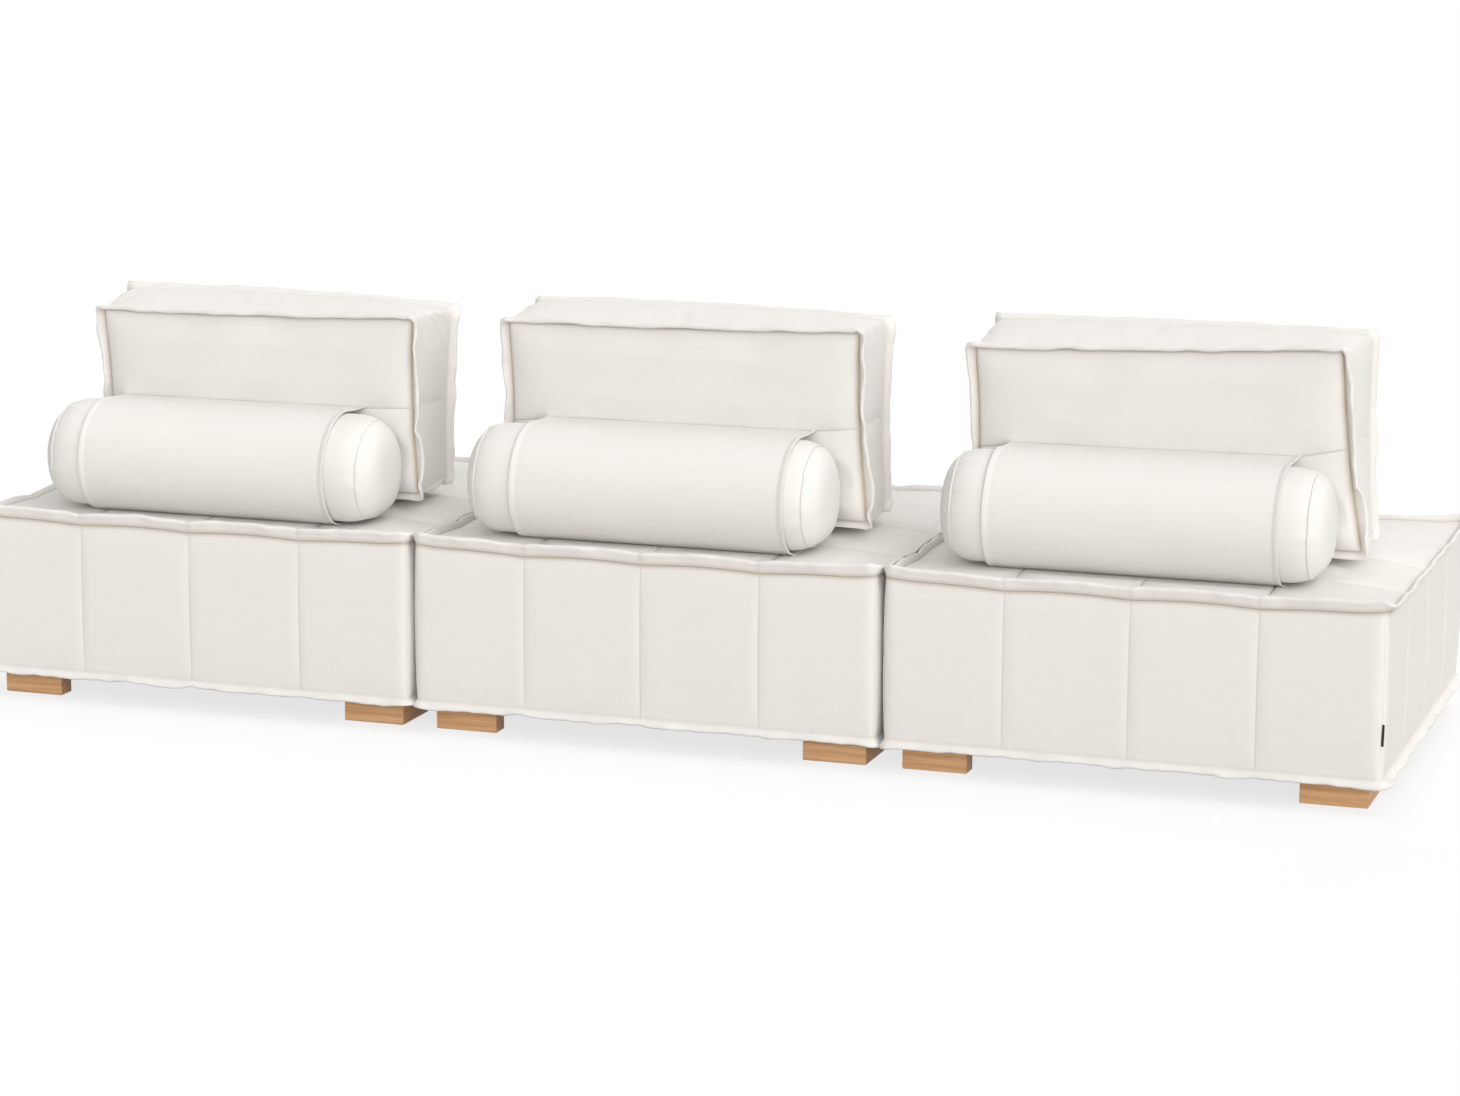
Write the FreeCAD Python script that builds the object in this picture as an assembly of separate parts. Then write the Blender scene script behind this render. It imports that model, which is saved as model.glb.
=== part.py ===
import FreeCAD, Part
import math
import os

# Modular sofa: three square seat modules in a row, each with a loose back cushion
# and a bolster held in a sleeve on the cushion's back.
# Millimetres. X along the row, the sitter faces -Y, Z up, floor at Z = 0.

# Row
MODULE_PITCH = 950.0
MODULE_GAP = 0.8          # between the flanges of neighbouring modules
# Each module's name, its place in the row and how far its loose pieces sit from true (x, y).
MODULES = (("left", -1, 16.0, -26.0), ("middle", 0, 16.0, 0.0), ("right", 1, -18.0, 12.0))

# Cloth and fits
COVER_T = 2.5
FIT = 0.4                 # between pieces that lie against each other
BOLT_FIT = 0.05           # radial, round a bolt

# Base
FLANGE_OUT = 8.0          # the top seam's flange stands out this far
FLANGE_H = 14.0
HEM_OUT = 7.0
HEM_H = 22.0
HEM_DROP = 15.0           # the hem hangs this far below the base
PANEL_BULGE = 3.0         # each side panel swells between its seams
FACE = MODULE_PITCH - MODULE_GAP - 2 * (FLANGE_OUT + PANEL_BULGE)
CORNER_R = 30.0
SEAM = MODULE_PITCH / 4   # the outer seams' distance from the middle one
EDGE_Z = 366.0            # the top's outer seam
CROWN = 32.0              # rise of the top's middle over its edge
TUFT = 8.0                # rise of each quilted square between its seams

# Frame
RAIL_T = 22.0
RAIL_TOP = 230.0
PAD_T = 15.0
STRETCHER_H = 90.0
BLOCK = 130.0
BLOCK_H = 43.0
WEB_W = 70.0
WEB_T = 2.0
WEB_COUNT = 5
DUST_T = 1.0
DUST_BACK = 4.0           # the dust cover ends this far inside the rails' outer faces

# Feet
FOOT_H = 60.0
FOOT_LEG = 126.0
FOOT_BOARD = 42.0
FOOT_SIDE = 24.0          # from the base's side face
FOOT_END = 36.0           # from the base's front or rear face
FOOT_ROUND = 2.0
BOLT_R = 4.0
BOLT_IN_FOOT = 32.0
BOLT_ALONG = 90.0         # from the foot's outer corner
BOLT_ACROSS = 26.0
BOLT_OVER = 4.0           # the bolt's end above the block
NUT_BARREL_T = 1.2
NUT_BARREL_H = 11.0
NUT_FLANGE_R = 9.0
NUT_FLANGE_T = 1.5

# Bolster
BOLSTER_R = 110.0
BOLSTER_L = 715.0
BOLSTER_DOME = 14.0
BOLSTER_FLAT = 11.0       # its underside is pressed flat by this much
BOLSTER_IN = 150.0        # its axis from the base's rear face
BOLSTER_OFF = 11.0        # it sits off the sleeve's middle
SLEEVE_W = 535.0
SLEEVE_T = 3.0
SLEEVE_FIT = 0.5

# Back cushion, over its flanges
BACK_W = 747.0
BACK_H = 390.0
BACK_D = 190.0
BACK_FLANGE = 16.0
BACK_FLANGE_T = 4.0
BACK_LEAN = 6.0           # degrees, towards the rear
BACK_CROWN = 16.0         # swell of the front and rear faces
BACK_TOP_RISE = 9.0
BACK_SAG = 13.0
BACK_DRAW = 7.0           # the sides are drawn in between the corners

# Tab in a corner seam
TAB_W = 15.0
TAB_H = 40.0
TAB_T = 2.0
TAB_Z = 128.0

# Heights and places that follow from the sizes above
HALF = FACE / 2
QUILT_HALF = HALF + PANEL_BULGE + FIT
BASE_Z = FOOT_H + DUST_T
FRAME_Z = BASE_Z + COVER_T
RAIL_OUT = HALF - COVER_T - FIT - PAD_T
RAIL_IN = RAIL_OUT - RAIL_T
WEB_TOP = RAIL_TOP + 2 * WEB_T
WEB_STEP = 2 * RAIL_IN / WEB_COUNT
BLOCK_TOP = BASE_Z + BLOCK_H
LEAN = math.radians(BACK_LEAN)
OVER = 40.0               # how far the cutting shapes reach past what they cut


def vec(x, y, z):
    return FreeCAD.Vector(x, y, z)


def line(a, b):
    return Part.makeLine(a, b)


def arc(a, through, b):
    return Part.Arc(a, through, b).toShape()


def prism(edges, sweep):
    return Part.Face(Part.Wire(edges)).extrude(sweep)


def box(x0, x1, y0, y1, z0, z1):
    return Part.makeBox(x1 - x0, y1 - y0, z1 - z0, vec(x0, y0, z0))


def cylinder(r, x, y, z0, z1):
    return Part.makeCylinder(r, z1 - z0, vec(x, y, z0))


def quarter_turn(shape, turns):
    turned = shape.copy()
    turned.rotate(vec(0, 0, 0), vec(0, 0, 1), 90 * turns)
    return turned


def moved(shape, offset):
    placed = shape.copy()
    placed.translate(offset)
    return placed


# Base

def seat_height(x, y):
    # The seat's top: one crown over the whole square and a swell over each quilted square.
    height = EDGE_Z + CROWN * (1 - (x / QUILT_HALF) ** 2) * (1 - (y / QUILT_HALF) ** 2)
    swell = TUFT
    for s in (abs(x), abs(y)):
        a, b = (0.0, SEAM) if s < SEAM else (SEAM, QUILT_HALF)
        swell *= 4 * (s - a) * (b - s) / (b - a) ** 2
    return height + swell


def seat_rest(y0, y1):
    # The height at which something lies on the seat between two places front to back.
    steps = 80
    ys = [y0 + (y1 - y0) * i / steps for i in range(steps + 1)]
    return max(seat_height(SEAM / 2, y) for y in ys) + FIT


def patch(points):
    # A face drawn through the corners and towards the middle points of a three by three net.
    surface = Part.BezierSurface()
    surface.increase(2, 2)
    for i in range(3):
        for j in range(3):
            surface.setPole(i + 1, j + 1, points[i][j])
    return surface.toShape()


def plan(inset, z0, z1):
    # The base's outline, swollen between the upright seams, as an upright prism.
    half = HALF - inset
    r = CORNER_R - inset
    stops = (r - half, -SEAM, 0.0, SEAM, half - r)
    side = []
    for a, b in zip(stops, stops[1:]):
        side.append(arc(vec(a, -half, z0), vec((a + b) / 2, -half - PANEL_BULGE, z0), vec(b, -half, z0)))
    d = r * math.sqrt(0.5)
    side.append(arc(vec(half - r, -half, z0), vec(half - r + d, r - half - d, z0), vec(half, r - half, z0)))
    edges = [quarter_turn(edge, turn) for turn in range(4) for edge in side]
    return prism(edges, vec(0, 0, z1 - z0))


def quilt(inset, z0):
    # The quilted top as a block: sixteen crowned squares, each swept down.
    stops = (-QUILT_HALF, -SEAM, 0.0, SEAM, QUILT_HALF)
    spans = []
    for a, b in zip(stops, stops[1:]):
        crowns = [1 - p * q / QUILT_HALF ** 2 for p, q in ((a, a), (a, b), (b, b))]
        spans.append(list(zip((a, (a + b) / 2, b), crowns, (0, 2, 0))))
    squares = []
    for across in spans:
        for along in spans:
            net = [[vec(x, y, EDGE_Z - inset + CROWN * cx * cy + TUFT * tx * ty) for y, cy, ty in along]
                   for x, cx, tx in across]
            squares.append(patch(net).extrude(vec(0, 0, z0 - EDGE_Z - OVER)))
    return squares[0].multiFuse(squares[1:])


def base_block(inset, z0):
    return plan(inset, z0, EDGE_Z + CROWN + OVER).common(quilt(inset, z0))


def edge_ring(out, z0, z1):
    # A flange round the base, rooted in the cover's thickness.
    return plan(-out, z0, z1).cut(plan(COVER_T / 2, z0, z1))


def make_base_cover():
    cover = base_block(0, BASE_Z).cut(base_block(COVER_T, FRAME_Z))
    cover = cover.cut(box(-RAIL_IN, RAIL_IN, -RAIL_IN, RAIL_IN, BASE_Z - OVER, FRAME_Z + OVER))
    cover = cover.fuse(edge_ring(FLANGE_OUT, EDGE_Z - FLANGE_H * 0.6, EDGE_Z + FLANGE_H * 0.4))
    cover = cover.fuse(edge_ring(HEM_OUT, BASE_Z - HEM_DROP, BASE_Z - HEM_DROP + HEM_H))
    return cover.removeSplitter()


def make_seat_foam():
    return base_block(COVER_T + FIT, WEB_TOP)


def make_side_padding():
    ring = plan(COVER_T + FIT, FRAME_Z, WEB_TOP)
    return ring.cut(box(-RAIL_OUT, RAIL_OUT, -RAIL_OUT, RAIL_OUT, FRAME_Z, WEB_TOP))


def make_frame_rails():
    rear = box(-RAIL_OUT, RAIL_OUT, RAIL_IN, RAIL_OUT, FRAME_Z, RAIL_TOP)
    side = box(RAIL_IN, RAIL_OUT, -RAIL_IN, RAIL_IN, FRAME_Z, RAIL_TOP + WEB_T)
    return Part.makeCompound([rear, quarter_turn(rear, 2), side, quarter_turn(side, 2)])


def make_stretcher():
    return box(-RAIL_T / 2, RAIL_T / 2, -RAIL_IN, RAIL_IN, FRAME_Z, FRAME_Z + STRETCHER_H)


def make_webbing():
    straps = []
    for i in range(WEB_COUNT):
        s = (i - (WEB_COUNT - 1) / 2) * WEB_STEP
        strap = box(s - WEB_W / 2, s + WEB_W / 2, -RAIL_OUT, RAIL_OUT, RAIL_TOP, RAIL_TOP + WEB_T)
        straps.append(strap)
        straps.append(moved(quarter_turn(strap, 1), vec(0, 0, WEB_T)))
    return Part.makeCompound(straps)


# Feet and what fixes them

CORNERS = {"rear_right": (1, 1), "rear_left": (-1, 1), "front_right": (1, -1), "front_left": (-1, -1)}


def bolt_places(sx, sy):
    along_x = (sx * (HALF - FOOT_SIDE - BOLT_ALONG), sy * (HALF - FOOT_END - BOLT_ACROSS))
    along_y = (sx * (HALF - FOOT_SIDE - BOLT_ACROSS), sy * (HALF - FOOT_END - BOLT_ALONG))
    return (along_x, along_y)


def all_bolt_places():
    return [place for sx, sy in CORNERS.values() for place in bolt_places(sx, sy)]


def make_foot(sx, sy):
    x0 = sx * (HALF - FOOT_SIDE)
    y0 = sy * (HALF - FOOT_END)
    across = ((0, 0), (FOOT_LEG, 0), (FOOT_LEG, FOOT_BOARD), (FOOT_BOARD, FOOT_BOARD),
              (FOOT_BOARD, FOOT_LEG), (0, FOOT_LEG))
    points = [vec(x0 - sx * a, y0 - sy * b, 0) for a, b in across]
    edges = [line(points[i - 1], points[i]) for i in range(len(points))]
    foot = prism(edges, vec(0, 0, FOOT_H))
    upright = [e for e in foot.Edges if abs(e.Vertexes[0].Z - e.Vertexes[-1].Z) > FOOT_H / 2]
    foot = foot.makeFillet(FOOT_ROUND, upright)
    for x, y in bolt_places(sx, sy):
        foot = foot.cut(cylinder(BOLT_R + BOLT_FIT, x, y, FOOT_H - BOLT_IN_FOOT, FOOT_H + OVER))
    return foot


def make_corner_blocks():
    blocks = []
    for sx, sy in CORNERS.values():
        xs = sorted((sx * RAIL_IN, sx * (RAIL_IN - BLOCK)))
        ys = sorted((sy * RAIL_IN, sy * (RAIL_IN - BLOCK)))
        block = box(xs[0], xs[1], ys[0], ys[1], BASE_Z, BLOCK_TOP)
        for x, y in bolt_places(sx, sy):
            block = block.cut(cylinder(BOLT_R + BOLT_FIT, x, y, BASE_Z, BLOCK_TOP))
            barrel = BOLT_R + NUT_BARREL_T + 2 * BOLT_FIT
            block = block.cut(cylinder(barrel, x, y, BLOCK_TOP - NUT_BARREL_H, BLOCK_TOP))
        blocks.append(block)
    return Part.makeCompound(blocks)


def make_dust_cover():
    half = RAIL_OUT - DUST_BACK
    sheet = box(-half, half, -half, half, FOOT_H, BASE_Z)
    for x, y in all_bolt_places():
        sheet = sheet.cut(cylinder(BOLT_R + BOLT_FIT, x, y, FOOT_H, BASE_Z))
    return sheet


def make_foot_bolts():
    low = FOOT_H - BOLT_IN_FOOT
    return Part.makeCompound([cylinder(BOLT_R, x, y, low, BLOCK_TOP + BOLT_OVER) for x, y in all_bolt_places()])


def make_tee_nuts():
    nuts = []
    for x, y in all_bolt_places():
        barrel_r = BOLT_R + NUT_BARREL_T + BOLT_FIT
        nut = cylinder(barrel_r, x, y, BLOCK_TOP - NUT_BARREL_H, BLOCK_TOP + NUT_FLANGE_T)
        nut = nut.fuse(cylinder(NUT_FLANGE_R, x, y, BLOCK_TOP, BLOCK_TOP + NUT_FLANGE_T))
        hole = cylinder(BOLT_R + BOLT_FIT, x, y, BLOCK_TOP - NUT_BARREL_H, BLOCK_TOP + NUT_FLANGE_T)
        nuts.append(nut.cut(hole))
    return Part.makeCompound(nuts)


def make_tab():
    # A small blank tab standing out of the left rear corner seam.
    centre = HALF - CORNER_R
    start = CORNER_R + FIT
    tab = box(start, start + TAB_W, -TAB_T / 2, TAB_T / 2, TAB_Z, TAB_Z + TAB_H)
    tab.rotate(vec(0, 0, 0), vec(0, 0, 1), 135)
    return moved(tab, vec(-centre, centre, 0))


# Bolster, its sleeve and the back cushion

class Loose:
    # Where one module's back cushion and bolster lie, and their shapes.

    def __init__(self, middle_x, shift_x, shift_y):
        self.x = middle_x + shift_x
        self.axis_y = HALF - BOLSTER_IN + shift_y
        sleeve_r = BOLSTER_R + SLEEVE_FIT + SLEEVE_T
        flat = math.sqrt(sleeve_r ** 2 - (sleeve_r - BOLSTER_FLAT) ** 2)
        self.sleeve_low = seat_rest(self.axis_y - flat, self.axis_y + flat)
        self.sleeve_in = self.sleeve_low + SLEEVE_T
        self.low = self.sleeve_in + SLEEVE_FIT
        self.axis_z = self.low + BOLSTER_R - BOLSTER_FLAT
        self.back_z = seat_rest(-HALF, HALF)
        self.back_y = min(self.behind(BACK_H * i / 100) for i in range(20, 60))

    def behind(self, h):
        # How far back the cushion's foot may stand for its rear face to clear the bolster at one height.
        r = BOLSTER_R + SLEEVE_FIT
        up = self.back_z + h - self.axis_z
        if abs(up) > r:
            return self.axis_y
        crown = BACK_CROWN * (1 - (2 * h / BACK_H - 1) ** 2)
        return self.axis_y - math.sqrt(r ** 2 - up ** 2) - crown - h * math.tan(LEAN)

    def bolster(self, inset):
        r = BOLSTER_R - inset
        x = self.x + BOLSTER_OFF
        end = BOLSTER_L / 2 - inset
        y = self.axis_y
        z = self.axis_z
        tips = [vec(x + s * end, y, z) for s in (-1, 1)]
        rims = [vec(x + s * (end - BOLSTER_DOME), y, z + r) for s in (-1, 1)]
        bows = [vec(x + s * (end - BOLSTER_DOME / 4), y, z + r / 2) for s in (-1, 1)]
        edges = [arc(tips[0], bows[0], rims[0]), line(rims[0], rims[1]), arc(rims[1], bows[1], tips[1]),
                 line(tips[1], tips[0])]
        roll = Part.Face(Part.Wire(edges)).revolve(vec(x, y, z), vec(1, 0, 0), 360)
        reach = BOLSTER_L
        low = self.low + inset
        return roll.cut(box(x - reach, x + reach, y - reach, y + reach, low - BOLSTER_R, low))

    def sleeve(self):
        y = self.axis_y
        z = self.axis_z
        end = self.back_y - OVER
        paths = []
        for r, low, foot in ((BOLSTER_R + SLEEVE_FIT + SLEEVE_T, self.sleeve_low, SLEEVE_T),
                             (BOLSTER_R + SLEEVE_FIT, self.sleeve_in, 2 * SLEEVE_T)):
            half_flat = math.sqrt(r ** 2 - (z - low) ** 2)
            bottom = self.back_z + foot
            slope = (bottom - low) / (self.back_y - (y - half_flat))
            points = [(end, z + r), (y, z + r), (y + r, z), (y + half_flat, low), (y - half_flat, low),
                      (self.back_y - BACK_FLANGE_T / 2, bottom - slope * BACK_FLANGE_T / 2)]
            paths.append([vec(self.x - SLEEVE_W / 2, a, b) for a, b in points])
        edges = []
        for top, crest, rear, heel, toe, foot in paths:
            edges += [line(top, crest), arc(crest, rear, heel), line(heel, toe), line(toe, foot)]
        outer, inner = paths
        edges += [line(outer[0], inner[0]), line(outer[-1], inner[-1])]
        band = prism(Part.__sortEdges__(edges), vec(SLEEVE_W, 0, 0))
        return band.cut(self.back_body(-FIT)).cut(self.back_flange(0, FIT))

    def back_point(self, x, depth, h):
        return vec(self.x + x, self.back_y - depth + h * math.tan(LEAN), self.back_z + h)

    def back_body(self, inset):
        at = self.back_point
        half = BACK_W / 2 - BACK_FLANGE - inset
        low = BACK_FLANGE + inset
        high = BACK_H - BACK_FLANGE - inset
        mid = (low + high) / 2
        rear = inset
        front = BACK_D - inset
        centre = BACK_D / 2
        xs = (-BACK_W / 2, 0, BACK_W / 2)
        hs = (0, BACK_H / 2, BACK_H)
        swell = ((0, 0, 0), (0, 4 * BACK_CROWN, 0), (0, 0, 0))
        rear_net = [[at(x, rear - swell[i][j], h) for j, h in enumerate(hs)] for i, x in enumerate(xs)]
        front_net = [[at(x, front + swell[i][j], h) for j, h in enumerate(hs)] for i, x in enumerate(xs)]
        through = vec(0, BACK_D + OVER, 0)
        crowned = patch(rear_net).extrude(-through).common(patch(front_net).extrude(through))
        x = -half - OVER
        back = -OVER
        fore = BACK_D + OVER
        swollen = prism([line(at(x, back, low), at(x, back, high)),
                         line(at(x, back, high), at(x, rear, high)),
                         arc(at(x, rear, high), at(x, centre, high + BACK_TOP_RISE), at(x, front, high)),
                         line(at(x, front, high), at(x, fore, high)),
                         line(at(x, fore, high), at(x, fore, low)),
                         line(at(x, fore, low), at(x, front, low)),
                         arc(at(x, front, low), at(x, centre, low - BACK_SAG), at(x, rear, low)),
                         line(at(x, rear, low), at(x, back, low))], vec(-2 * x, 0, 0))
        d = -OVER
        foot = low - OVER
        head = high + OVER
        drawn = prism([line(at(-half, d, foot), at(-half, d, low)),
                       arc(at(-half, d, low), at(BACK_DRAW - half, d, mid), at(-half, d, high)),
                       line(at(-half, d, high), at(-half, d, head)),
                       line(at(-half, d, head), at(half, d, head)),
                       line(at(half, d, head), at(half, d, high)),
                       arc(at(half, d, high), at(half - BACK_DRAW, d, mid), at(half, d, low)),
                       line(at(half, d, low), at(half, d, foot)),
                       line(at(half, d, foot), at(-half, d, foot))], vec(0, -BACK_D - 2 * OVER, 0))
        return crowned.common(swollen).common(drawn)

    def back_flange(self, depth, grow):
        at = self.back_point
        half = BACK_W / 2 + grow
        low = -grow
        high = BACK_H + grow
        d = depth - grow
        corners = [at(-half, d, low), at(half, d, low), at(half, d, high), at(-half, d, high)]
        mid = (low + high) / 2
        edges = [line(corners[0], corners[1]),
                 arc(corners[1], at(half - BACK_DRAW, d, mid), corners[2]),
                 arc(corners[2], at(0, d, high - BACK_DRAW), corners[3]),
                 arc(corners[3], at(BACK_DRAW - half, d, mid), corners[0])]
        return prism(edges, vec(0, -BACK_FLANGE_T - 2 * grow, 0))

    def back_cover(self):
        cover = self.back_body(0).fuse(self.back_flange(0, 0))
        cover = cover.fuse(self.back_flange(BACK_D - BACK_FLANGE_T, 0))
        return cover.cut(self.back_body(COVER_T))


def build():
    shared = {"frame_rails": make_frame_rails(), "stretcher": make_stretcher(),
              "corner_blocks": make_corner_blocks(), "webbing": make_webbing(),
              "seat_foam": make_seat_foam(), "side_padding": make_side_padding(),
              "base_cover": make_base_cover(), "dust_cover": make_dust_cover(),
              "foot_bolts": make_foot_bolts(), "tee_nuts": make_tee_nuts()}
    for corner, (sx, sy) in CORNERS.items():
        shared["foot_" + corner] = make_foot(sx, sy)
    nodes = {}
    for name, place, shift_x, shift_y in MODULES:
        middle_x = place * MODULE_PITCH
        for piece, shape in shared.items():
            nodes[name + "_" + piece] = moved(shape, vec(middle_x, 0, 0))
        loose = Loose(middle_x, shift_x, shift_y)
        nodes[name + "_back_cover"] = loose.back_cover()
        nodes[name + "_back_core"] = loose.back_body(COVER_T + FIT)
        nodes[name + "_bolster_sleeve"] = loose.sleeve()
        nodes[name + "_bolster_cover"] = loose.bolster(0).cut(loose.bolster(COVER_T))
        nodes[name + "_bolster_core"] = loose.bolster(COVER_T + FIT)
    nodes["left_label_tab"] = moved(make_tab(), vec(-MODULE_PITCH, 0, 0))
    return nodes


os.makedirs("parts", exist_ok=True)
for node, solid in build().items():
    solid.exportStep(os.path.join("parts", node + ".step"))
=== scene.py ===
import contextlib
import math

import bmesh
import bpy
import numpy as np
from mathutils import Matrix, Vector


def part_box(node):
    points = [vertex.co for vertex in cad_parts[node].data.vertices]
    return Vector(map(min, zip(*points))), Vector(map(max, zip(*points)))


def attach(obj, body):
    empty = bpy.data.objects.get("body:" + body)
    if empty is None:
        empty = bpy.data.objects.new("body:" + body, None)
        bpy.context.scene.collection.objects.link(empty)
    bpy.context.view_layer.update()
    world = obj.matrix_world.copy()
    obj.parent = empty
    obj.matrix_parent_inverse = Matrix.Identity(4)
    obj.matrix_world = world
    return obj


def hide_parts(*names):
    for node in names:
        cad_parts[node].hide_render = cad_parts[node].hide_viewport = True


# A low modular sofa seen from behind: quilted seat blocks on wooden corner feet, flanged back
# cushions and bolsters in cloth sleeves. Metres, in the solids' own frame.

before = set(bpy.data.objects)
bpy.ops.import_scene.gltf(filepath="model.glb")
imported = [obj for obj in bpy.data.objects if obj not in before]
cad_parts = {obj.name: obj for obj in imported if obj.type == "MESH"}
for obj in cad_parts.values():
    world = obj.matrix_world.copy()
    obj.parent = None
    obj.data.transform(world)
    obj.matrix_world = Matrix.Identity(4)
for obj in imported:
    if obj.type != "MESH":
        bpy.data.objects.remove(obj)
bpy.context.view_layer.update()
scene = bpy.context.scene

MODULES = {"left": -1, "middle": 0, "right": 1}
PITCH = 0.950
SAME = 1e-6               # measures that differ by less are the same
TURN = 2 * math.pi

# Seat block
FACE = 0.4665             # half the block's width at its side faces
SEAM = 0.2375             # the outer seams' distance from the middle one
SEAMS = (-SEAM, 0.0, SEAM)
QUILT = 0.467             # half the width of the crowned top
EDGE_Z = 0.366
CROWN = 0.032
TUFT = 0.008
SEAM_SINK = 0.0045        # how far the quilting's seams are drawn down
SCALLOP = 0.0045          # rise of the top's edge between its seams
SCALLOP_END = 0.0058      # and towards the block's corners
SCALLOP_LOW = 0.0015      # how far that edge sinks at a seam
BASE_Z = 0.061
CORNER_R = 0.012
BULGE = 0.0045            # how far the sides swell past their edges
BULGE_PULL = 0.0012       # how much less they swell at an upright seam
TOP_FILL = 0.011          # how far the filling may move the top
SIDE_FILL = 0.0014        # how far it may move the sides
TURNED_IN = 0.9           # the opening that the cloth turned under leaves, as a share of the block
EDGE_STEP = 0.0048        # between the points along a folded edge
EDGE_TUCK = 0.0006        # how far a block's folded edges start inside their seams

# Feet, underside and tab
FOOT_LEG = 0.126
FOOT_BOARD = 0.042
FOOT_H = 0.060
FOOT_ROUND = 0.0018
DUST_THICK = 0.0006
DUST_SAG = 0.004
TAB = (0.0150, 0.0016, 0.040)

# Back cushion
BACK_HALF = 0.3575
BACK_LOW = 0.016
BACK_HIGH = 0.374
BACK_TALL = 0.390
BACK_DEEP = 0.190
BACK_SWELL = 0.016
BACK_CORNER = 0.009
BACK_FILL = 0.008         # how far the filling may move the two panels
BACK_TUCK = 0.001         # how far its folded edges start inside their seams
LEAN = math.tan(math.radians(6))

# Bolster and sleeve
BOLSTER_R = 0.112
BOLSTER_SOLID_R = 0.110
BOLSTER_FLAT = 0.101      # from the axis down to the pressed underside
BOLSTER_DOME = 0.032
BOLSTER_SINK = 0.008      # how far it sinks into the seat
BOLSTER_SIDES = 128       # points round it
CAP_R = BOLSTER_R - 0.0108
CAP_RINGS = (0.985, 0.955, 0.91, 0.84, 0.75, 0.64, 0.52, 0.40, 0.28, 0.17, 0.08)
CAP_SEAM_W = 0.0034
CAP_SEAM_T = 0.0026
SLEEVE_GAP = 0.0012       # between the sleeve and what it lies on
SLEEVE_THICK = 0.0021
SLEEVE_HEM = 0.0098       # width of the hems at its open ends
SEAM_DROP = 0.014         # the sleeve's seam on the cushion lies this far below its top


# Mesh work

def added(name, data):
    thing = bpy.data.objects.new(name, data)
    scene.collection.objects.link(thing)
    return thing


def stacked(*axes):
    """Points, or cloth coordinates, from one array or number for each axis."""
    return np.stack(np.broadcast_arrays(*axes), axis=-1)


def fade(distance, reach):
    """1 at a place, and less with the distance from it."""
    return np.exp(-(distance / reach) ** 2)


class Cutting:
    """One piece before it is sewn: its points, faces and cloth coordinates, and for each point how firmly it
    is held and how far it may move in the filling, and how deep in a seam it lies, which sets the painted
    shade on its cloth."""

    def __init__(self):
        self.points, self.faces, self.cloth = [], [], []
        self.held, self.most, self.deep = [], [], []

    def lay(self, points, held=0.0, most=0.0, deep=0.0):
        """Adds points, and gives their numbers in the same layout."""
        points = np.asarray(points, dtype=float)
        layout = points.shape[:-1]
        start = len(self.points)
        self.points.extend(map(tuple, points.reshape(-1, 3).tolist()))
        for record, value in ((self.held, held), (self.most, most), (self.deep, deep)):
            record.extend(np.broadcast_to(value, layout).ravel().tolist())
        return np.arange(start, len(self.points)).reshape(layout)

    def at(self, index):
        return np.array(self.points)[index]

    def patch(self, corners, cloth):
        self.faces.append(tuple(int(c) for c in corners))
        self.cloth.append(cloth)

    def grid(self, index, u, v, flip=False):
        """Quads over an array of point numbers, with cloth coordinates that spread over it."""
        rows, columns = index.shape
        cloth = stacked(np.broadcast_to(u, index.shape), v)
        for i in range(rows - 1):
            for j in range(columns - 1):
                corners = ((i, j), (i + 1, j), (i + 1, j + 1), (i, j + 1))
                if flip:
                    corners = corners[::-1]
                self.patch([index[c] for c in corners], [tuple(cloth[c]) for c in corners])

    def sew(self, name):
        mesh = bpy.data.meshes.new(name)
        mesh.from_pydata(self.points, [], self.faces)
        layer = mesh.uv_layers.new(name="cloth")
        layer.data.foreach_set("uv", [c for face in self.cloth for place in face for c in place])
        mesh.polygons.foreach_set("use_smooth", [True] * len(mesh.polygons))
        mesh.validate()
        return added(name, mesh)


def places(piece):
    spots = np.empty(len(piece.data.vertices) * 3)
    piece.data.vertices.foreach_get("co", spots)
    return spots.reshape(-1, 3)


def put(piece, spots):
    piece.data.vertices.foreach_set("co", np.ascontiguousarray(spots, dtype=float).ravel())
    piece.data.update()


def only(piece):
    bpy.ops.object.select_all(action="DESELECT")
    piece.select_set(True)
    bpy.context.view_layer.objects.active = piece


@contextlib.contextmanager
def editing(piece, action="SELECT"):
    """Edit mode on one piece, with all of it selected or nothing."""
    only(piece)
    bpy.ops.object.mode_set(mode="EDIT")
    bpy.ops.mesh.select_all(action=action)
    yield bmesh.from_edit_mesh(piece.data)
    bpy.ops.object.mode_set(mode="OBJECT")


def face_outwards(piece):
    with editing(piece):
        bpy.ops.mesh.normals_make_consistent(inside=False)
    return piece


def new_box(size, place=(0, 0, 0)):
    bpy.ops.object.select_all(action="DESELECT")
    bpy.ops.mesh.primitive_cube_add(size=1, location=place)
    box = bpy.context.active_object
    box.scale = size
    bpy.ops.object.transform_apply(location=True, rotation=False, scale=True)
    return box


def smooth_once(piece):
    only(piece)
    rounding = piece.modifiers.new("rounding", "SUBSURF")
    rounding.levels = 1
    rounding.render_levels = 1
    bpy.ops.object.modifier_apply(modifier=rounding.name)


def paint_crease_shade(piece, depth):
    """Marks how deep in a seam each point lies; the linen is painted darker there, as painted shade in the
    seam.
    """
    mark = piece.data.attributes.new("crease", "FLOAT", "POINT")
    mark.data.foreach_set("value", np.ascontiguousarray(depth, dtype=np.float32))


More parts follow.
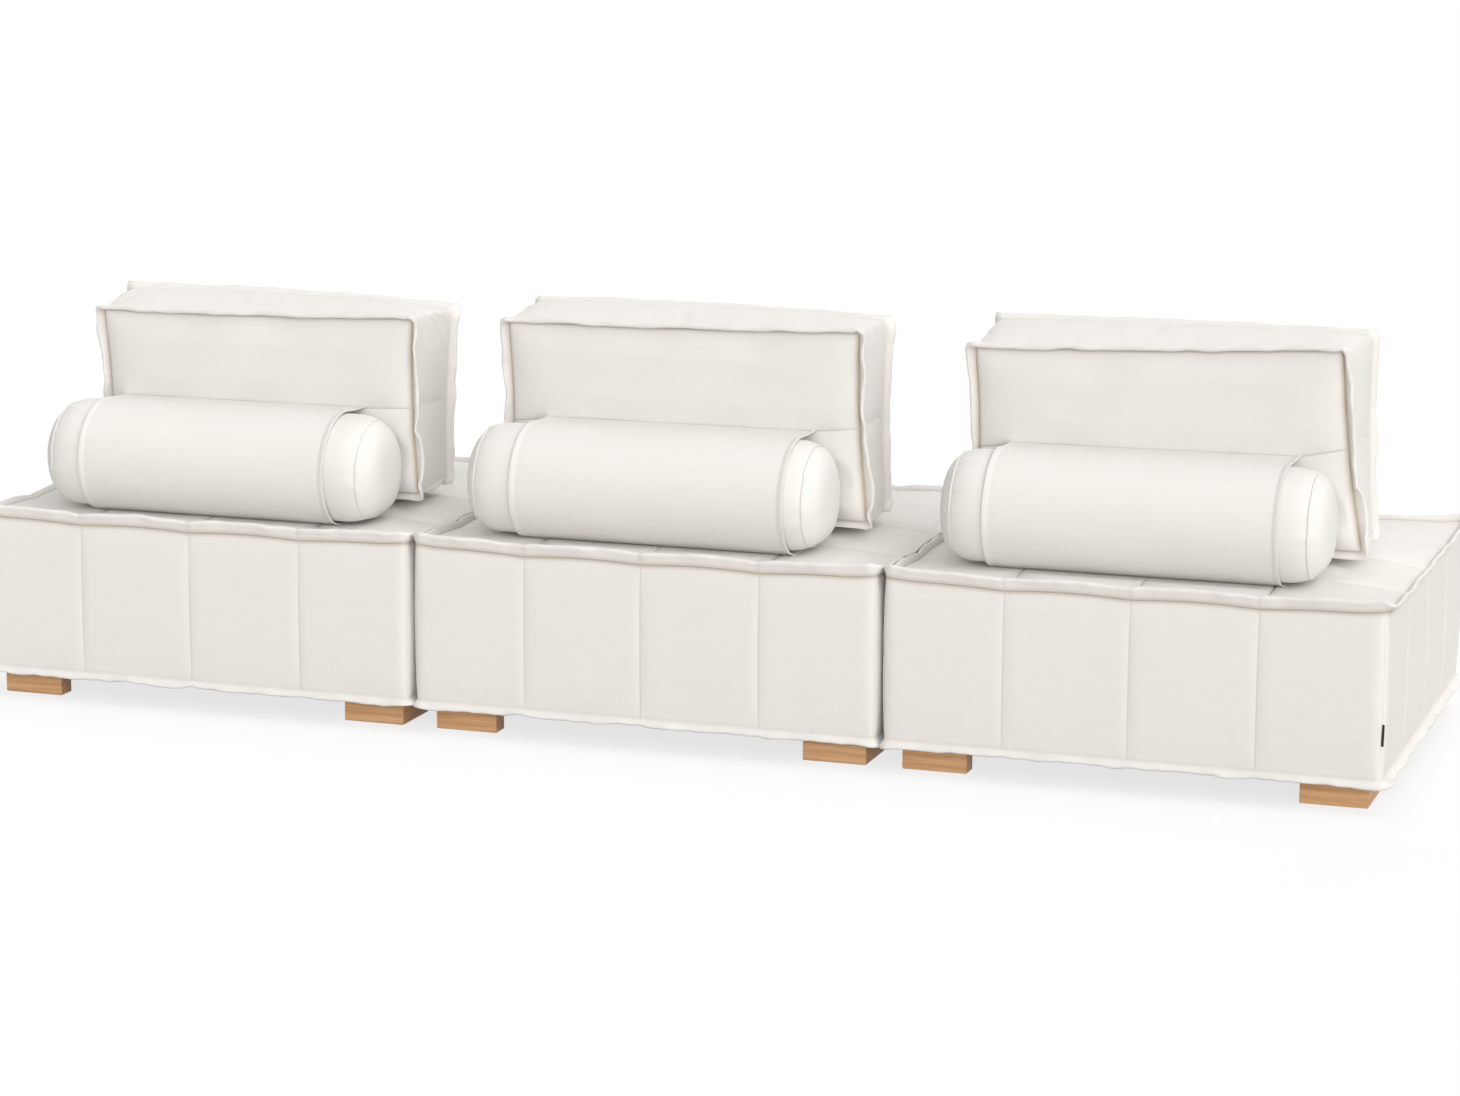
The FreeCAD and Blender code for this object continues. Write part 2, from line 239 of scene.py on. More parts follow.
def copy_of(piece, name, turn=0.0, shift=(0, 0, 0)):
    """A copy with its own mesh, turned about the upright axis and moved, with its place in the mesh."""
    double = added(name, piece.data.copy())
    double.data.name = name
    c, s = math.cos(turn), math.sin(turn)
    put(double, places(double) @ np.array([[c, s, 0], [-s, c, 0], [0, 0, 1]]) + np.array(shift))
    return double


def ripple(s, seed, *waves):
    """A gentle irregular wave along a length: each wave is a length and a height."""
    chance = np.random.default_rng(seed)
    total = np.zeros_like(np.asarray(s, dtype=float))
    for length, height in waves:
        for stretch in (1.0, 1.37, 0.71):
            phase = chance.uniform(0, TURN)
            total += height / 2 * np.sin(TURN * s / (length * stretch) + phase)
    return total


def nearness(t, marks, reach):
    """1 at the marks, and less further from them."""
    return np.max([fade(t - m, reach) for m in marks], axis=0)


def stops(marks, step=0.0095, near=(0.0018, 0.0055, 0.011, 0.018, 0.027)):
    """Places of grid lines between marks, closer together beside each mark."""
    lines = [marks[0]]
    for a, b in zip(marks, marks[1:]):
        lines += [a + d for d in near]
        count = max(2, round((b - a - 2 * near[-1]) / step))
        inner = np.linspace(a + near[-1], b - near[-1], count + 1)[1:]
        lines += list(inner) + [b - d for d in near[-2::-1]] + [b]
    return np.array(lines)


def marked(lines, marks):
    return np.array([any(abs(line - m) < SAME for m in marks) for line in lines])


def rounded(x, y, half_x, half_y, r):
    """Moves points of a square plan on to one with round corners."""
    a = np.clip((np.abs(x) - half_x + r) / r, 0, 1)
    b = np.clip((np.abs(y) - half_y + r) / r, 0, 1)
    both = (a > 0) & (b > 0)
    in_x = np.sign(x) * (half_x - r + r * a * np.sqrt(1 - b * b / 2))
    in_y = np.sign(y) * (half_y - r + r * b * np.sqrt(1 - a * a / 2))
    return np.where(both, in_x, x), np.where(both, in_y, y)


def rim(grid):
    """The outer loop of a grid, anticlockwise for rows along x and columns along y."""
    return np.concatenate([grid[:-1, 0], grid[-1, :-1], grid[:0:-1, -1], grid[0, :0:-1]])


def closed(loop, axis=0):
    """A loop with its first place again at its end."""
    return np.concatenate([loop, np.take(loop, [0], axis=axis)], axis=axis)


def distances(line):
    """How far along a line each of its points lies."""
    return np.concatenate([[0], np.cumsum(np.linalg.norm(np.diff(line, axis=0), axis=1))])


def outward(loop, rise):
    """The way out at each point of a closed loop, which turns from x (axis 0) to the axis named rise."""
    ahead = np.roll(loop, -1, axis=0) - np.roll(loop, 1, axis=0)
    out = np.zeros_like(ahead)
    out[:, 0] = ahead[:, rise]
    out[:, rise] = -ahead[:, 0]
    return out / np.linalg.norm(out, axis=1, keepdims=True)


def even_loop(points, step):
    """A closed line of points at even steps, with the distance along it."""
    loop = closed(points)
    runs = distances(loop)
    count = max(24, int(round(runs[-1] / step)))
    at = np.arange(count) * runs[-1] / count
    return np.stack([np.interp(at, runs, loop[:, k]) for k in range(3)], axis=1), at, runs[-1]


LINEN = {"quality": 6, "mass": 0.3, "air_damping": 3, "tension_stiffness": 20,
         "compression_stiffness": 20, "shear_stiffness": 8, "bending_stiffness": 4,
         "use_pressure": True, "pin_stiffness": 1}


def swell(piece, work, pressure, slack, loose, steps):
    """Fills a sewn piece with air as cloth, its seams held, and keeps every point near its start.

    The cloth is cut larger than its place by the slack's first share, or by its second where it is
    loose."""
    start = places(piece)
    held = np.array(work.held)
    seams = piece.vertex_groups.new(name="seams")
    for weight in np.unique(held):
        if weight > 0:
            seams.add(np.flatnonzero(held == weight).tolist(), float(weight), "REPLACE")
    fuller = piece.vertex_groups.new(name="fuller")
    fuller.add(np.flatnonzero(loose).tolist(), 1.0, "REPLACE")
    only(piece)
    cloth = piece.modifiers.new("swell", "CLOTH")
    ways = {"uniform_pressure_force": pressure, "shrink_min": -slack[0], "shrink_max": -slack[1],
            "vertex_group_shrink": fuller.name, "vertex_group_mass": seams.name}
    for key, value in (LINEN | ways).items():
        setattr(cloth.settings, key, value)
    cloth.settings.effector_weights.gravity = 0
    cloth.collision_settings.use_collision = False
    cloth.point_cache.frame_start = 1
    cloth.point_cache.frame_end = steps
    for step in range(1, steps + 1):
        scene.frame_set(step)
    bpy.ops.object.modifier_apply(modifier=cloth.name)
    scene.frame_set(1)
    piece.vertex_groups.clear()
    move = places(piece) - start
    far = np.linalg.norm(move, axis=1, keepdims=True)
    cap = np.array(work.most)[:, None]
    put(piece, start + move * np.minimum(1, cap / np.maximum(far, 1e-9)))


FOLD_CLOTH = 0.044        # the cloth that goes round a folded edge
# The half outline of a folded flange: along its width, and half its thickness there.
FOLD = ((-0.08, 0.25), (0.12, 0.42), (0.35, 0.55), (0.6, 0.8), (0.8, 1.0), (0.93, 0.85), (1.0, 0.4))
# How much painted shade a flange gets at each place along its width.
FOLD_SHADE = ((-0.08, 0.12, 0.30), (1.0, 0.6, 0.0))    # along its width, and how dark it is there


def flange(name, loop, out, side, tilt, width, thick, along, total, painted_shade=0.6, seam_tick_shade=0.0):
    """A folded edge of cloth standing out of a seam: it leaves along out, tilted towards side.

    Its last two arguments set its painted shade: how dark it is painted at its seam, and how deep a seam that
    crosses it lies at each place, which is painted as shade too."""
    tilt, width, thick = (np.reshape(value, (-1, 1)) for value in (tilt, width, thick))
    lean = np.cos(tilt) * out + np.sin(tilt) * np.array(side)
    across = -np.sin(tilt) * out + np.cos(tilt) * np.array(side)
    work = Cutting()
    rings = []
    for w, t in FOLD + tuple((w, -t) for w, t in FOLD[::-1]):
        spots = loop + lean * (width * w) + across * (thick * t / 2)
        # Painted shade at the flange's seam and where a seam crosses it.
        rings.append(work.lay(spots, deep=np.maximum(painted_shade * np.interp(w, *FOLD_SHADE), seam_tick_shade)))
    rings.append(rings[0])
    round_fold = np.linspace(0, FOLD_CLOTH, len(rings))
    work.grid(closed(rings, 1), np.append(along, total), round_fold[:, None])
    piece = work.sew(name)
    paint_crease_shade(piece, work.deep)
    return face_outwards(piece)


# Seat block

def scallop(t):
    """How far the top seam rises between the upright seams, and at the corners."""
    t = np.abs(t)
    inner = np.sin(math.pi * np.clip(t / SEAM, 0, 1)) * SCALLOP
    part = np.clip((t - SEAM) / (FACE - SEAM), 0, 1)
    outer = SCALLOP_END * np.sin(math.pi / 2 * np.clip(part * 1.5, 0, 1))
    return np.where(t < SEAM, inner, outer) - SCALLOP_LOW


def seat_top(x, y):
    """Height of the quilted top before it is filled."""
    height = EDGE_Z + CROWN * (1 - (x / QUILT) ** 2) * (1 - (y / QUILT) ** 2)
    puff = TUFT * 0.6
    for s in (np.abs(x), np.abs(y)):
        a = np.where(s < SEAM, 0.0, SEAM)
        b = np.where(s < SEAM, SEAM, FACE)
        puff = puff * (1 - np.abs(2 * (s - a) / (b - a) - 1) ** 3)
    for s, t in ((x, y), (y, x)):
        height = height + scallop(t) * fade(FACE - np.abs(s), 0.035)
    return height + puff


def block_plan():
    """The block's grid in plan: its places on the square cloth, and on the plan with round corners."""
    lines = stops((-FACE, *SEAMS, FACE))
    x, y = np.meshgrid(lines, lines, indexing="ij")
    return lines, x, y, *rounded(x, y, FACE, FACE, CORNER_R)


def turn_under(piece):
    """Draws the cover's lower edge in under the block and closes it."""
    with editing(piece, "DESELECT") as shape:
        for edge in shape.edges:
            edge.select = edge.is_boundary
        bmesh.update_edit_mesh(piece.data)
        bpy.ops.mesh.extrude_edges_move()
        bpy.ops.transform.resize(value=(TURNED_IN, TURNED_IN, 1), center_override=(0, 0, 0))
        bpy.ops.transform.translate(value=(0, 0, 0.0015))
        bpy.ops.mesh.edge_face_add()


def make_seat_block():
    """One block's padding and cover: quilted top, four sewn sides and the cloth turned under."""
    lines, x, y, px, py = block_plan()
    sewn = marked(lines, (-FACE, *SEAMS, FACE))
    on_seam = sewn[:, None] | sewn[None, :]
    inside = on_seam & (np.abs(x) < FACE - SAME) & (np.abs(y) < FACE - SAME)
    z = seat_top(x, y) - SEAM_SINK * inside
    work = Cutting()
    # Points on the top's seams get painted shade, half as much on the inner quilting seams.
    index = work.lay(stacked(px, py, z), 1.0 * on_seam, TOP_FILL, np.where(inside, 0.5, 1.0 * on_seam))
    work.grid(index, x, y)

    rows = [rim(index)]
    top = work.at(rows[0])
    out = outward(top, 1)
    t = np.where(np.abs(np.abs(rim(x)) - FACE) < SAME, rim(y), rim(x))
    upright = marked(t, SEAMS)
    corner = np.abs(np.abs(t) - FACE) < SAME
    for f in stops((0.0, 1.0), step=0.03, near=(0.01, 0.028, 0.055, 0.09))[1:]:
        spots = top.copy()
        spots[:, 2] = top[:, 2] * (1 - f) + BASE_Z * f
        bow = (BULGE - BULGE_PULL * (upright | corner)) * math.sin(math.pi * min(f, 1 - 1e-9)) ** 0.6
        spots += out * np.reshape(bow, (-1, 1))
        held = np.maximum(1.0 if f >= 1 else 0.0, 1.0 * upright + 0.8 * corner)
        # Painted shade along the sides' upper and lower seams, at their upright seams and at the corners.
        shade = fade(f, 0.016) + 0.3 * fade(1 - f, 0.016)
        rows.append(work.lay(spots, held, SIDE_FILL, np.maximum(shade, 0.42 * upright + 0.25 * corner)))
    index = closed(rows, 1)
    work.grid(index, distances(closed(top)), work.at(index)[..., 2])

    piece = work.sew("seat_block")
    swell(piece, work, 2.6, (0.001, 0.009), np.arange(len(work.points)) < x.size, 14)
    paint_crease_shade(piece, work.deep)
    turn_under(piece)
    return piece


def block_rim(z_of):
    """The block's outline as an even loop with its outward direction and place along each side."""
    _, x, y, px, py = block_plan()
    spots, along, total = even_loop(stacked(rim(px), rim(py), z_of(rim(x), rim(y))), EDGE_STEP)
    on_x = np.abs(spots[:, 0]) > np.abs(spots[:, 1])
    t = np.where(on_x, spots[:, 1], spots[:, 0])
    return spots, along, total, outward(spots, 1), t


def beside(out, place):
    """1 on a block's sides that face a neighbour, 0 on its free sides."""
    return np.clip(out[:, 0], 0, 1) * (place < 1) + np.clip(-out[:, 0], 0, 1) * (place > -1)


def make_top_flange(place):
    """The folded edge round the top: a full upright roll at the rear, low on the free sides."""
    spots, along, total, out, t = block_rim(seat_top)
    pinch = nearness(t, SEAMS, 0.010)
    ear = nearness(np.abs(t), (FACE - 0.012,), 0.022)
    stands = np.clip(out[:, 1], 0, 1) ** 2
    tilt = np.radians(30 + 42 * beside(out, place) + 53 * stands + 8 * ear * (1 - stands))
    tilt += ripple(along, 11 + place, (0.17, 0.10), (0.06, 0.06))
    width = 0.0150 + 0.0085 * stands + 0.0040 * ear * (1 - stands) - 0.0014 * pinch
    width += ripple(along, 14 + place, (0.12, 0.0010))
    thick = 0.0078 + 0.0030 * stands - 0.0022 * pinch + ripple(along, 17 + place, (0.09, 0.0008))
    # Painted shade where the top's quilting seams cross the roll; its own seam gets the flange's usual
    # painted shade.
    seam_tick_shade = 0.3 * nearness(t, SEAMS, 0.0035)
    return flange("top_flange", spots - out * EDGE_TUCK, out, (0, 0, 1), tilt, width, thick, along, total,
                  seam_tick_shade=seam_tick_shade)


def make_hem(place):
    """The loose lower edge, standing out further on the side where nothing stands beside it."""
    spots, along, total, out, t = block_rim(lambda x, y: np.full_like(x, BASE_Z + 0.0035))
    pinch = nearness(t, SEAMS, 0.012)
    ear = nearness(np.abs(t), (FACE - 0.010,), 0.020)
    free = np.clip(out[:, 0] * place, 0, 1)
    tilt = np.radians(58 - 6 * ear - 20 * free + 10 * beside(out, place))
    tilt += ripple(along, 21 + place, (0.21, 0.16), (0.075, 0.09))
    width = 0.0176 + 0.002 * ear - 0.002 * pinch
    width += ripple(along, 24 + place, (0.16, 0.0016), (0.05, 0.0007)) + 0.003 * free
    thick = 0.0062 + ripple(along, 27 + place, (0.1, 0.0008))
    # A little painted shade at the hem's seam.
    return flange("hem", spots - out * EDGE_TUCK, out, (0, 0, -1), tilt, width, thick, along, total, 0.2)


# Back cushion

# How each cushion has settled. Rear and front are the shifts across and up of that face's corners,
# (+x, low), (-x, low), (+x, high), (-x, high). Rise lifts the front's upper edge between its corners.
# Lies and waves say how far forward its front flange lies, in degrees, and how much that waves. Longer
# is what its bolster's +x and -x ends add to the solid, reach how far its sleeve goes to either side,
# and climb how much the sleeve's seam rises beside the sleeve.
SETTLED = {
    "right": {"rear": ((-0.038, 0), (-0.004, 0), (-0.042, -0.006), (-0.012, 0.006)),
              "front": ((0, 0), (0.019, 0), (-0.004, 0.006), (-0.012, -0.006)),
              "rise": 0.008, "lies": 62, "waves": 1.0, "longer": (0.003, 0.009),
              "reach": (0.2735, 0.2615), "climb": 0.003},
    "middle": {"rear": ((0, 0), (-0.024, 0), (-0.008, 0.010), (-0.016, 0.022)),
               "front": ((0, 0), (0, 0), (0.008, 0.020), (-0.013, 0.014)),
               "rise": 0.006, "lies": 72, "waves": 0.6, "longer": (0.011, 0.003),
               "reach": (0.2695, 0.2855), "climb": 0.009},
    "left": {"rear": ((0, 0), (-0.028, 0), (0, 0.001), (0.012, 0.031)),
             "front": ((0, 0), (-0.014, 0), (0.006, 0.026), (-0.008, 0.0285)),
             "rise": 0.004, "lies": 72, "waves": 0.5, "longer": (0.014, 0.006),
             "reach": (0.2855, 0.2705), "climb": 0.017},
}


def plump(inside):
    """How full a filled panel is at a distance inside its seam: 0 at the seam, 1 further in."""
    return np.sqrt(1 - (1 - np.clip(inside / 0.036, 0, 1)) ** 2)


class Cushion:
    """One module's back cushion with its bolster and sleeve, set where their solids stand."""

    def __init__(self, module, seed):
        low, high = (np.array(corner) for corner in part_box(module + "_back_cover"))
        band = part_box(module + "_bolster_sleeve")
        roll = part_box(module + "_bolster_cover")
        self.module = module
        self.seed = seed
        self.settled = SETTLED[module]
        self.reach = self.settled["reach"]
        self.x = (low[0] + high[0]) / 2
        self.z = low[2]
        h = np.linspace(0, BACK_HIGH, 400)
        self.y = high[1] - max(h * LEAN + BACK_SWELL * (1 - (2 * h / BACK_TALL - 1) ** 2))
        self.seam_h = band[1][2] - SEAM_DROP - self.z
        longer = self.settled["longer"]
        self.roll_x = (roll[0][0] + roll[1][0] + longer[0] - longer[1]) / 2
        self.roll_end = (roll[1][0] - roll[0][0] + longer[0] + longer[1]) / 2
        self.roll_y = (roll[0][1] + roll[1][1]) / 2
        self.roll_z = roll[1][2] - BOLSTER_SOLID_R - BOLSTER_SINK

    def face_point(self, x, h, deep):
        """A place on the rear face (deep 0) or the front face, puffed up inside its seam."""
        rear = deep == 0
        corners = np.array(self.settled["rear" if rear else "front"])
        u = (1 + x / BACK_HALF) / 2
        v = (h - BACK_LOW) / (BACK_HIGH - BACK_LOW)
        a = 4 * u * (1 - u)
        b = 4 * v * (1 - v)
        low = corners[0] * u[..., None] + corners[1] * (1 - u)[..., None]
        high = corners[2] * u[..., None] + corners[3] * (1 - u)[..., None]
        move = low * (1 - v)[..., None] + high * v[..., None]
        across = x * (1 - 0.006 / BACK_HALF * b) + move[..., 0]
        rise = -0.003 if rear else self.settled["rise"]
        up = h + move[..., 1] * v + rise * a * np.clip(2 * v - 1, 0, 1)
        puff = 0.015 * plump(BACK_HALF - np.abs(x)) * plump(np.minimum(h - BACK_LOW, BACK_HIGH - h))
        puff += 0.006 * a * b
        y = self.y - deep + up * LEAN + (puff if rear else -puff)
        return stacked(self.x + across, y, self.z + up)

    def panel(self, work, which, x, h, seam):
        """Lays the rear (0) or the front (1) panel, and gives the numbers of its outer loop."""
        mid = (BACK_LOW + BACK_HIGH) / 2
        rx, rh = rounded(x, h - mid, BACK_HALF, mid - BACK_LOW, BACK_CORNER)
        rh += mid
        edge = np.ones(x.shape, bool)
        edge[1:-1, 1:-1] = False
        sewn = seam & (which == 0)
        spots = self.face_point(rx, rh, which * BACK_DEEP)
        spots[..., 1] += np.where(edge, 0, ripple(rx + 0.6 * rh, self.seed + which, (0.27, 0.0012)))
        spots[..., 1] -= 0.0022 * (sewn & ~edge)
        from_side, from_end = BACK_HALF - np.abs(x), np.minimum(h - BACK_LOW, BACK_HIGH - h)
        # Painted shade along the panel's sewn edge, strong on the rear panel, and along the sleeve's seam on
        # it.
        line = np.maximum(fade(from_side, 0.0052), fade(from_end, 0.0032)) * (1.0, 0.3)[which]
        index = work.lay(spots, np.where(edge, 1.0, 0.9 * sewn), BACK_FILL, np.maximum(line, 0.6 * sewn))
        work.grid(index, x, h, flip=which == 0)
        return rim(index)

    def gusset(self, work, rims, across, up):
        """Lays the band between the panels: full above, and drawn into folds near the upper corners."""
        rear, front = self.rims
        out = outward(rear, 2)
        above, below = out[:, 2] > 0.5, out[:, 2] < -0.5
        from_corner = np.where(above | below, BACK_HALF - np.abs(across), BACK_HIGH - up)
        inwards = np.minimum(from_corner, up - BACK_LOW + above)
        middle = np.sqrt(1 - (1 - np.clip(inwards / 0.16, 0, 1)) ** 2)
        drawn = 0.0034 * self.settled["waves"] ** 2 * fade(from_corner, 0.11) * ~below
        parts = stops((0.0, 1.0), step=0.05, near=(0.011, 0.03, 0.06, 0.1))
        rows = [rims[0]]
        for f in parts[1:-1]:
            bow = math.sin(math.pi * f ** 1.3) ** 0.7
            full = np.where(above, 0.018 * middle, np.where(below, 0.010, -0.002)) * bow
            folds = drawn * np.sin((from_corner - f * BACK_DEEP) * TURN / 0.052 + 1.0) * bow
            spots = rear * (1 - f) + front * f + out * (full + folds)[:, None]
            # Painted shade beside the gusset's seams with the two panels.
            shade = 0.3 * fade(min(f, 1 - f) * BACK_DEEP, 0.0032)
            rows.append(work.lay(spots, 0.0, 0.002 + 0.010 * middle, shade))
        rows.append(rims[1])
        index = closed(rows, 1)
        work.grid(index, distances(closed(rear)), (parts * BACK_DEEP)[:, None], flip=True)

    def make_room(self, piece):
        """Keeps the cushion above the seat and out of its bolster."""
        spots = places(piece)
        spots[:, 2] = np.maximum(spots[:, 2], self.z + 0.0015)
        dy, dz = spots[:, 1] - self.roll_y, spots[:, 2] - self.roll_z
        away = np.hypot(dy, dz)
        clear = BOLSTER_R + 0.002
        close = (away < clear) & (np.abs(spots[:, 0] - self.roll_x) < self.roll_end)
        push = np.where(close, clear / np.maximum(away, SAME), 1.0)
        spots[:, 1] = self.roll_y + dy * push
        spots[:, 2] = self.roll_z + dz * push
        put(piece, spots)

    def make(self):
        """The filled cover, with the sleeve's seam across its rear panel."""
        xs = stops((-BACK_HALF, BACK_HALF))
        hs = stops((BACK_LOW, self.seam_h, BACK_HIGH))
        x, h = np.meshgrid(xs, hs, indexing="ij")
        seam = np.abs(h - self.seam_h) < SAME
        inside = np.interp(h, (BACK_LOW, self.seam_h, BACK_HIGH), (0, 1, 0))
        climb = np.where(x < 0, self.settled["climb"], -0.012)
        h = h + climb * inside * np.clip((np.abs(x) - 0.26) / 0.10, 0, 1)
        work = Cutting()
        rims = [self.panel(work, which, x, h, seam) for which in (0, 1)]
        self.rims = [work.at(loop) for loop in rims]
        self.gusset(work, rims, rim(x), rim(h))
        piece = work.sew(self.module + "_back_cushion")
        swell(piece, work, 3.0, (0.002, 0.008), np.arange(len(work.points)) >= 2 * x.size, 16)
        paint_crease_shade(piece, work.deep)
        self.make_room(piece)
        smooth_once(piece)
        return piece

    def make_flange(self, which):
        """The folded edge round the rear (0) or the front (1) face."""
        spots, along, total = even_loop(self.rims[which], EDGE_STEP)
        out = outward(spots, 2)
        seed = self.seed + 40 + 10 * which
        lies, waves = self.settled["lies"], self.settled["waves"]
        upper = np.clip(out[:, 2], 0, 1)
        lower = np.clip(-out[:, 2], 0, 1)
        flank = 1 - upper - lower
        corner = np.clip(1 - np.abs(np.abs(out[:, 0]) - 0.7) / 0.5, 0, 1)
        tilt = np.radians((80, lies)[which] * upper + 8 * lower + (54, lies)[which] * flank)
        wave = ripple(along, seed, (0.21, 0.18), (0.083, 0.11)) * (0.35 + 0.65 * flank)
        tilt = tilt - (0.15, 0.42)[which] * corner + wave * (1.0, waves)[which]
        width = 0.0190 + 0.0045 * upper + (0.0040, 0.0050)[which] * corner - 0.004 * lower
        width += ripple(along, seed + 1, (0.16, 0.0016), (0.06, 0.0008))
        thick = 0.0070 + 0.0034 * upper + ripple(along, seed + 2, (0.11, 0.0012))
        if which == 0:
            behind = np.sqrt(np.maximum((BOLSTER_R + 0.003) ** 2 - (spots[:, 2] - self.roll_z) ** 2, 0))
            room = np.where(behind > 0, self.roll_y - behind - spots[:, 1], 1.0)
            tilt = np.minimum(tilt, np.arcsin(np.clip((room - thick / 2) / width, -0.4, 1)))
        name = self.module + ("_back_flange_rear", "_back_flange_front")[which]
        # The rear flange is painted with strong shade at its seam, the front one with a little.
        piece = flange(name, spots - out * BACK_TUCK, out, (0, (1, -1)[which], 0), tilt, width, thick,
                       along, total, (0.8, 0.2)[which])
        shape = places(piece)
        shape[:, 2] = np.maximum(shape[:, 2], self.z + 0.0004)
        put(piece, shape)
        return piece

    # Bolster and the sleeve that holds it

    def section(self, turn, r):
        """The bolster's outline across its length, pressed flat underneath."""
        y = r * np.sin(turn)
        z = r * np.cos(turn)
        soft = 0.006
        low = -BOLSTER_FLAT - (r - BOLSTER_R)
        z = low + soft * np.logaddexp(0, (z - low) / soft)
        y = y * (1 + 0.018 * np.clip(-z / r, 0, 1) ** 2)
        return self.roll_y + y, self.roll_z + z

    def make_bolster(self):
        """The roll and its two round ends, puckered beside their seams."""
        turns = np.linspace(0, TURN, BOLSTER_SIDES + 1)[:-1]
        arc = turns * BOLSTER_R
        shoulder = self.roll_end - BOLSTER_DOME
        xs = stops((-shoulder, shoulder), step=0.012)
        seed = self.seed + 80
        work = Cutting()
        rows = []
        for x in xs:
            far = shoulder - abs(x)
            pucker = ripple(arc, seed + (x > 0), (0.055, 0.0009), (0.021, 0.0006))
            pucker *= fade(far, 0.020)
            tuck = -0.009 * (1 - min(far / 0.042, 1)) ** 2 - 0.0015 * fade(far, 0.004)
            lump = ripple(arc + 0.7 * x, seed + 5, (0.26, 0.0006)) - 0.0012
            y, z = self.section(turns, BOLSTER_R + pucker + tuck + lump)
            rows.append(work.lay(stacked(self.roll_x + x, y, z)))
        index = closed(rows, 1)
        work.grid(index, xs[:, None], np.append(arc, TURN * BOLSTER_R), flip=True)
        self.cap_rims = []
        y_cap, z_cap = self.section(turns, CAP_R)
        for end in (-1, 1):
            rows = [index[0 if end < 0 else -1, :-1]]
            self.cap_rims.append(work.at(rows[0]))
            for p in CAP_RINGS:
                pucker = ripple(arc, seed + 7 + end, (0.048, 0.0010), (0.019, 0.0005))
                pucker *= math.exp(-(1 - p) / 0.10)
                x = self.roll_x + end * (shoulder + BOLSTER_DOME * (1 - p ** 5) * 0.95 + pucker)
                y = self.roll_y + (y_cap - self.roll_y) * p
                z = self.roll_z + (z_cap - self.roll_z) * p
                rows.append(work.lay(stacked(x, y, z)))
            rings = closed(rows, 1)
            work.grid(rings, *np.moveaxis(work.at(rings)[..., 1:], -1, 0), flip=end > 0)
            tip = self.roll_x + end * (shoulder + BOLSTER_DOME * 0.955)
            centre = work.lay((tip, self.roll_y, self.roll_z))
            for k in range(BOLSTER_SIDES):
                trio = [rings[-1, k], rings[-1, k + 1], int(centre)]
                trio = trio if end > 0 else trio[::-1]
                work.patch(trio, [work.points[c][1:] for c in trio])
        return face_outwards(work.sew(self.module + "_bolster"))

    def make_cap_seam(self, end):
        """The raised seam where a round end is sewn on."""
        spots, along, total = even_loop(self.cap_rims[end], 0.0045)
        out = spots - np.array((spots[0, 0], self.roll_y, self.roll_z))
        out /= np.linalg.norm(out, axis=1, keepdims=True)
        tilt = np.radians(20) + ripple(along, self.seed + 95 + end, (0.05, 0.12))
        name = self.module + ("_bolster_seam_a", "_bolster_seam_b")[end]
        # The bolster's cap seam gets some painted shade.
        return flange(name, spots - out * BACK_TUCK, out, ((-1, 1)[end], 0, 0), tilt, CAP_SEAM_W,
                      CAP_SEAM_T, along, total, 0.25)

    def sleeve_run(self, x, inset, begin, layer):
        """The sleeve's way from its seam to its lower edge at one place across it, on its inner (0) or
        outer (1) side: level to the bolster, round it, flat under it and up to the cushion's foot."""
        r = BOLSTER_R + SLEEVE_GAP
        heel = math.sqrt(r * r - BOLSTER_FLAT ** 2)
        hem = layer * (0.0007 * (inset < SLEEVE_HEM) - 0.0006 * fade(inset - SLEEVE_HEM, 0.0012))
        lift = layer * SLEEVE_THICK + hem + 0.0018 * fade(inset, 0.007) * (x < 0)
        y0, z0 = self.roll_y, self.roll_z
        py, pz = begin[1] - 0.004 - y0, begin[2] + lift - z0
        first = math.atan2(py, pz) + math.acos(min(1, (r + lift) / math.hypot(py, pz)))
        turn = np.linspace(first, math.pi - math.atan2(heel, BOLSTER_FLAT), 54)
        wave = ripple(turn * r + 0.3 * x, self.seed + 120, (0.19, 0.0006)) * layer * np.sin(turn) ** 2
        y_arc, z_arc = self.section(turn, r + lift + wave)
        parts = np.linspace(0, 1, 12)
        top, after = parts[:-1], parts[1:]
        y_top = y0 + py + (y_arc[0] - y0 - py) * top
        z_top = z0 + pz + (z_arc[0] - z0 - pz) * top - 0.0015 * np.sin(math.pi * top)
        y_low = y0 + heel - 2 * heel * after
        z_low = np.full_like(after, z0 - BOLSTER_FLAT - SLEEVE_GAP - lift)
        y_run = y_low[-1] + (self.y + SLEEVE_GAP - y_low[-1]) * after
        z_run = z_low[-1] + (self.z + 0.0070 - lift - z_low[-1]) * after
        return np.hstack([y_top, y_arc, y_low, y_run]), np.hstack([z_top, z_arc, z_low, z_run])

    def make_sleeve(self):
        """The cloth band from the cushion's seam, over and under the bolster, to its lower edge."""
        half = sum(self.reach) / 2
        slid = (self.reach[0] - self.reach[1]) / 2
        xs = stops((-half, half), step=0.009, near=(0.0012, 0.0045, 0.0092, 0.0104, 0.016))
        start = self.face_point(xs + slid, np.full_like(xs, self.seam_h), 0.0)
        work = Cutting()
        sides = []
        for layer in (0, 1):
            runs = [stacked(self.x + slid + x, *self.sleeve_run(x, half - abs(x), begin, layer))
                    for x, begin in zip(xs, start)]
            sides.append(work.lay(runs))
        inner, outer = sides
        s = distances(runs[len(xs) // 2])
        work.grid(outer, xs[:, None], s)
        work.grid(inner, xs[:, None], s, flip=True)
        for edge in (0, -1):
            work.grid(np.array([inner[edge], outer[edge]]), xs[edge], s, flip=edge == 0)
            work.grid(np.array([inner[:, edge], outer[:, edge]]), xs, s[edge], flip=edge != 0)
        return face_outwards(work.sew(self.module + "_sleeve"))


# Feet, underside and tab

